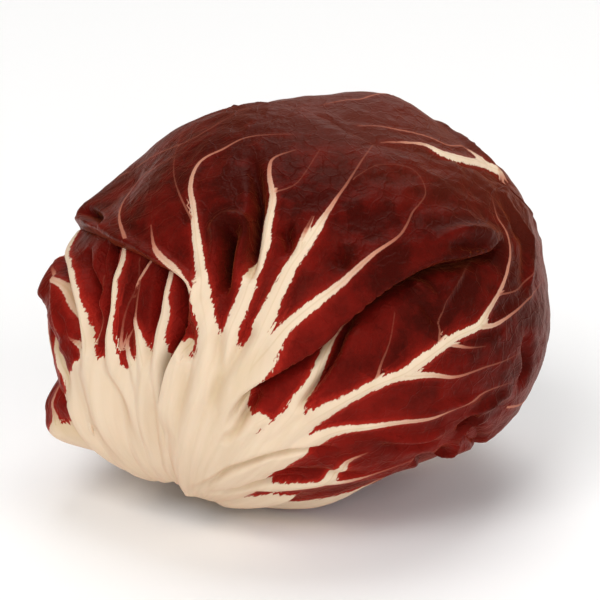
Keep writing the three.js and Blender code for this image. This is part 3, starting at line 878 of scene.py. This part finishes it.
    # Relief: puckers 3 mm across and wrinkles 9 mm apart on the blade, the net raised, and the streaks as
    # lines along the ribs.
    puckers = add(
        "ShaderNodeTexNoise", {"Vector": place, "Scale": 1 / (3 * MM), "Detail": 4.0, "Roughness": 0.55}
    ).outputs["Fac"]
    wrinkles = add(
        "ShaderNodeTexNoise", {"Vector": place, "Scale": 1 / (9 * MM), "Detail": 2.0, "Distortion": 1.0},
        noise_type="RIDGED_MULTIFRACTAL",
    ).outputs["Fac"]
    puckers = add("ShaderNodeMath", {0: wrinkles, 1: 0.5, 2: puckers}, operation="MULTIPLY_ADD").outputs[0]
    puckers = add("ShaderNodeMath", {0: vein, 1: 0.15, 2: puckers}, operation="MULTIPLY_ADD").outputs[0]
    lines = add("ShaderNodeMath", {0: streaks, 1: 0.35, 2: 0.4}, operation="MULTIPLY_ADD").outputs[0]
    relief = add("ShaderNodeMix", {"Factor": rib, 2: puckers, 3: lines}, data_type="FLOAT").outputs[0]
    bump = add("ShaderNodeBump", {"Height": relief, "Strength": 0.9, "Distance": 0.65 * MM}).outputs[0]

    roughness = add("ShaderNodeMapRange", {"Value": rib, "To Min": 0.36, "To Max": 0.5}, **EASED).outputs[0]
    surface = add("ShaderNodeBsdfPrincipled", {
        "Base Color": skin,
        "Roughness": roughness,
        "IOR": 1.22,
        "Specular IOR Level": 0.2,
        "Specular Tint": colour("#FFC0A0"),
        "Normal": bump,
        "Subsurface Weight": 0.08,
        "Subsurface Radius": (1.0, 0.35, 0.2),
        "Subsurface Scale": 1.5 * MM,
        "Sheen Weight": 0.2,
        "Sheen Roughness": 0.45,
        "Sheen Tint": colour("#E0703F"),
    })
    add("ShaderNodeOutputMaterial", {"Surface": surface.outputs[0]})
    return material


def flesh_material(name, pale, dark, patch_size, roughness):
    """Bare plant flesh: two tones in cloudy patches of that size in mm, with fibres 0.8 mm apart."""
    material = bpy.data.materials.new(name)
    material.use_nodes = True
    tree = material.node_tree
    tree.nodes.clear()
    place = add_node(tree, "ShaderNodeTexCoord").outputs["Object"]
    patches = add_node(
        tree, "ShaderNodeTexNoise", {"Vector": place, "Scale": 1 / (patch_size * MM), "Detail": 5.0}
    ).outputs["Fac"]
    tone = add_node(
        tree, "ShaderNodeMapRange", {"Value": patches, "From Min": 0.35, "From Max": 0.65}
    ).outputs[0]
    skin = add_node(tree, "ShaderNodeMix", {"Factor": tone, 6: pale, 7: dark}, data_type="RGBA").outputs[2]
    fibres = add_node(
        tree, "ShaderNodeTexNoise", {"Vector": place, "Scale": 1 / (0.8 * MM), "Detail": 3.0}
    ).outputs["Fac"]
    bump = add_node(
        tree, "ShaderNodeBump", {"Height": fibres, "Strength": 0.6, "Distance": 0.2 * MM}
    ).outputs[0]
    surface = add_node(
        tree, "ShaderNodeBsdfPrincipled", {"Base Color": skin, "Roughness": roughness, "Normal": bump}
    )
    add_node(tree, "ShaderNodeOutputMaterial", {"Surface": surface.outputs[0]})
    return material


# ---------------------------------------------------------------- operators


def colour_setting(name, description, code):
    return bpy.props.FloatVectorProperty(
        name=name, description=description, subtype="COLOR", size=3, min=0, max=1, default=colour(code)[:3]
    )


class RadicchioSettings(bpy.types.PropertyGroup):
    leaf_thickness: bpy.props.FloatProperty(
        name="Leaf thickness", description="Thickness of every leaf", unit="LENGTH",
        default=0.9 * MM, min=0.4 * MM, max=1.5 * MM,
    )
    pucker: bpy.props.FloatProperty(
        name="Pucker", description="Height of the crumples of the blades", unit="LENGTH",
        default=0.35 * MM, min=0, max=1 * MM,
    )
    blade_dark: colour_setting("Dark blade", "Blade far from the ribs", "#380705")
    # Painted sheen: the brown that stands in for the warm sheen over the tip.
    blade_sheen_brown: colour_setting("Brown blade", "Blade over the tip", "#552015")
    blade_red: colour_setting("Red blade", "Blade near the stem", "#78140F")
    rib_red: colour_setting("Red by the ribs", "Blade where it meets a rib", "#A8261C")
    cream: colour_setting("Cream", "Flesh of the ribs", "#DEC8AE")
    # The streak tone of the ribs, and the painted shade in their hollows and middle groove.
    cream_streak_and_shade: colour_setting("Shaded cream", "Streaks and hollows of the ribs", "#C4AA84")
    vein: colour_setting("Vein pink", "Finest veins", "#B06650")
    floor: colour_setting("Floor", "Paper under the head", "#FCFBFA")


class RADICCHIO_OT_front_leaf(bpy.types.Operator):
    """Build the big outer leaf that faces the front, with the fold across it"""

    bl_idname = "radicchio.front_leaf"
    bl_label = "Front leaf"

    def execute(self, context):
        build_leaf("front_leaf", 0, 218, 214, FRONT_LEAF_STATIONS, FRONT_LEAF_RIBS, FRONT_LEAF_CREASES,
                   edge_lift=front_edge_lift, ragged=1.5, seed=3)
        return {"FINISHED"}


class RADICCHIO_OT_left_leaves(bpy.types.Operator):
    """Build the fluted leaf at the left and the lobe below it"""

    bl_idname = "radicchio.left_leaves"
    bl_label = "Left leaves"

    def execute(self, context):
        build_leaf("left_leaf", 1, 190, 170, LEFT_LEAF_STATIONS, LEFT_LEAF_RIBS, LEFT_LEAF_CREASES,
                   cream_reach=LEFT_LEAF_CREAM, rib_height=1.3, ragged=0.0, seed=5)
        build_leaf("lower_left_leaf", 0, 80, 70, LOWER_LEFT_LEAF_STATIONS, LOWER_LEFT_LEAF_RIBS,
                   LOWER_LEFT_LEAF_CREASES, LOWER_LEFT_LEAF_CREAM, lower_left_edge_lift, ragged=0.0, seed=7)
        return {"FINISHED"}


class RADICCHIO_OT_wrapping_leaves(bpy.types.Operator):
    """Build the leaves that wrap the underside, the right and the back"""

    bl_idname = "radicchio.wrapping_leaves"
    bl_label = "Wrapping leaves"

    def execute(self, context):
        build_leaf("under_leaf", 1, 120, 110, UNDER_LEAF_STATIONS, UNDER_LEAF_RIBS, seed=8)
        build_leaf("right_leaf", 2, 170, 190, RIGHT_LEAF_STATIONS, RIGHT_LEAF_RIBS, RIGHT_LEAF_CREASES,
                   edge_lift=rising_tip(3.8), seed=9)
        build_leaf("left_back_leaf", 3, 130, 130, LEFT_BACK_LEAF_STATIONS, LEFT_BACK_LEAF_RIBS,
                   edge_lift=rising_tip(5.2), seed=10)
        build_leaf("back_leaf", 4, 140, 140, BACK_LEAF_STATIONS, BACK_LEAF_RIBS,
                   edge_lift=rising_tip(6.6), seed=11)
        return {"FINISHED"}


class RADICCHIO_OT_heart_and_stem(bpy.types.Operator):
    """Give the heart and the cut stem their flesh"""

    bl_idname = "radicchio.heart_and_stem"
    bl_label = "Heart and stem"

    def execute(self, context):
        # The heart's leaves are pale where no light reaches them, flushed with red in patches.
        heart = flesh_material("Blanched heart leaves", colour("#E6CFAE"), colour("#8A2A22"), 9.0, 0.5)
        # The cut stem dries to a tan with browned patches.
        stem = flesh_material("Dried cut stem", colour("#D9BC92"), colour("#9A6F45"), 4.0, 0.75)
        for node, material in (("heart", heart), ("stem", stem)):
            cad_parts[node].data.materials.clear()
            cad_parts[node].data.materials.append(material)
        return {"FINISHED"}


CAMERA_ELEVATION = 20.0  # degrees
CAMERA_DISTANCE = 0.65  # m
VIEW_WIDTH = 0.1644  # m, what the picture takes in at the head
SENSOR_WIDTH = 36.0  # mm


class RADICCHIO_OT_stage(bpy.types.Operator):
    """Add the floor, the lights and the camera"""

    bl_idname = "radicchio.stage"
    bl_label = "Stage"

    def execute(self, context):
        bpy.ops.object.select_all(action="DESELECT")
        bpy.ops.mesh.primitive_plane_add(size=6, location=(0, 0, 0))
        floor = context.object
        floor.name = "floor"
        paper = bpy.data.materials.new("Matt white paper")
        paper.use_nodes = True
        shader = paper.node_tree.nodes["Principled BSDF"]
        shader.inputs["Base Color"].default_value = (*context.scene.radicchio.floor, 1)
        shader.inputs["Roughness"].default_value = 0.9
        floor.data.materials.append(paper)

        world = bpy.data.worlds.new("Soft white room")
        world.use_nodes = True
        world.node_tree.nodes["Background"].inputs["Color"].default_value = colour("#FFFFFF")
        world.node_tree.nodes["Background"].inputs["Strength"].default_value = 0.15
        context.scene.world = world

        # Each softbox: its place from the head and its side in metres, and its power in watts.
        head = Vector(CENTRE * MM)
        for name, place, size, power in (
            ("key_softbox", (-1.0, -1.6, 2.2), 1.6, 44.0),
            ("front_softbox", (0.3, -2.8, 0.7), 2.0, 30.0),
            ("fill_softbox", (2.0, -1.4, 1.3), 1.6, 17.0),
            ("top_softbox", (0.2, 0.8, 2.6), 1.8, 36.0),
            ("back_softbox", (0.5, 2.6, 1.3), 1.6, 8.0),
        ):
            bpy.ops.object.light_add(type="AREA", location=head + Vector(place))
            light = context.object
            light.name = name
            light.data.size = size
            light.data.energy = power
            light.rotation_euler = (-Vector(place)).to_track_quat("-Z", "Y").to_euler()

        elevation = math.radians(CAMERA_ELEVATION)
        target = head + Vector((-2 * MM, 0, 1 * MM))
        bpy.ops.object.camera_add(
            location=target + CAMERA_DISTANCE * Vector((0, -math.cos(elevation), math.sin(elevation))),
            rotation=(math.pi / 2 - elevation, 0, 0),
        )
        camera = context.object
        camera.name = "camera"
        camera.data.sensor_width = SENSOR_WIDTH
        camera.data.lens = SENSOR_WIDTH * CAMERA_DISTANCE / VIEW_WIDTH
        camera.data.clip_start = 0.01
        context.scene.camera = camera
        context.scene.view_settings.view_transform = "Standard"
        return {"FINISHED"}


class RADICCHIO_PT_panel(bpy.types.Panel):
    """Lists the settings and the steps"""

    bl_idname = "RADICCHIO_PT_panel"
    bl_label = "Radicchio"
    bl_space_type = "VIEW_3D"
    bl_region_type = "UI"
    bl_category = "Radicchio"

    def draw(self, context):
        for name in RadicchioSettings.__annotations__:
            self.layout.prop(context.scene.radicchio, name)
        for step in STEPS:
            self.layout.operator(step.bl_idname)


STEPS = (
    RADICCHIO_OT_front_leaf,
    RADICCHIO_OT_left_leaves,
    RADICCHIO_OT_wrapping_leaves,
    RADICCHIO_OT_heart_and_stem,
    RADICCHIO_OT_stage,
)
CLASSES = (RadicchioSettings, *STEPS, RADICCHIO_PT_panel)


def register():
    for cls in CLASSES:
        bpy.utils.register_class(cls)
    bpy.types.Scene.radicchio = bpy.props.PointerProperty(type=RadicchioSettings)


def unregister():
    del bpy.types.Scene.radicchio
    for cls in reversed(CLASSES):
        bpy.utils.unregister_class(cls)


def main():
    register()
    bpy.ops.radicchio.front_leaf()
    bpy.ops.radicchio.left_leaves()
    bpy.ops.radicchio.wrapping_leaves()
    bpy.ops.radicchio.heart_and_stem()
    bpy.ops.radicchio.stage()


if __name__ == "__main__":
    main()
